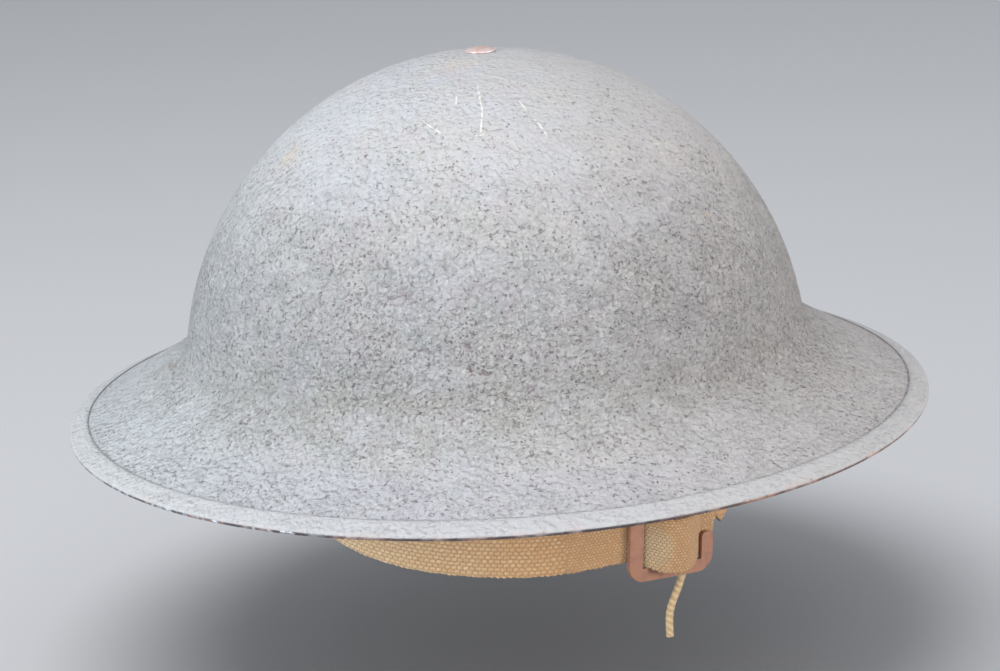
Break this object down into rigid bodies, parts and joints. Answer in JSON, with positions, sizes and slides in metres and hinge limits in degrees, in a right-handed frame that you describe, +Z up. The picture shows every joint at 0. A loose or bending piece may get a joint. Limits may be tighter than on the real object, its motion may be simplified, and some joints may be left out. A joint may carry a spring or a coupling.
{
  "type": "brodie helmet",
  "caption": "Shallow bowl-shaped steel combat helmet with a wide sloping brim, folded rim binding, riveted liner and a webbing chinstrap worn round the brow.",
  "frame": {"origin": "middle of the head opening, in the plane of the brim's lower edge", "axes": "+Z up through the crown rivet, -Y to the front, +X to the wearer's left"},
  "size_m": [0.2858, 0.3048, 0.1814],
  "materials": {
    "steel_paint": "rough matte pale grey paint over sand texture",
    "copper": "dull copper",
    "plain_steel": "dull dark",
    "liner_leather": "worn",
    "felt": "felted",
    "oilcloth": "satin oiled cloth",
    "twine": "twisted cotton",
    "rubber_tube": "matte",
    "webbing": "coarse woven cotton",
    "buckle_steel": "browned, satin"
  },
  "bodies": {
    "helmet": {"shell": "steel_paint", "rim_binding": "steel_paint", "crown_rivet": "copper", "crown_washer": "plain_steel", "crown_strap_long": "liner_leather", "crown_strap_cross": "liner_leather", "felt_pad": "felt", "head_band": "oilcloth", "wadding_band": "felt", "twine_net": "twine", "net_drawstring": "twine", "spacer_01": "rubber_tube", "spacer_02": "rubber_tube", "spacer_03": "rubber_tube", "spacer_04": "rubber_tube", "spacer_05": "rubber_tube", "spacer_06": "rubber_tube", "spacer_07": "rubber_tube", "spacer_08": "rubber_tube", "spacer_09": "rubber_tube", "spacer_10": "rubber_tube", "spacer_11": "rubber_tube", "spacer_12": "rubber_tube", "lug_rivets": "plain_steel", "lug_washers": "plain_steel"},
    "chinstrap": {"lug_bracket_left": "plain_steel", "lug_bracket_right": "plain_steel", "strap_loop_left": "plain_steel", "strap_loop_right": "plain_steel", "chinstrap_long": "webbing", "chinstrap_short": "webbing", "buckle": "buckle_steel", "hanging_thread": "twine"}
  },
  "joints": [
    {"name": "strap_swing", "type": "hinge", "parent": "helmet", "child": "chinstrap", "pos_m": [0, 0, 0.03], "axis": [1, 0, 0], "range_deg": [0, 105]}
  ]
}
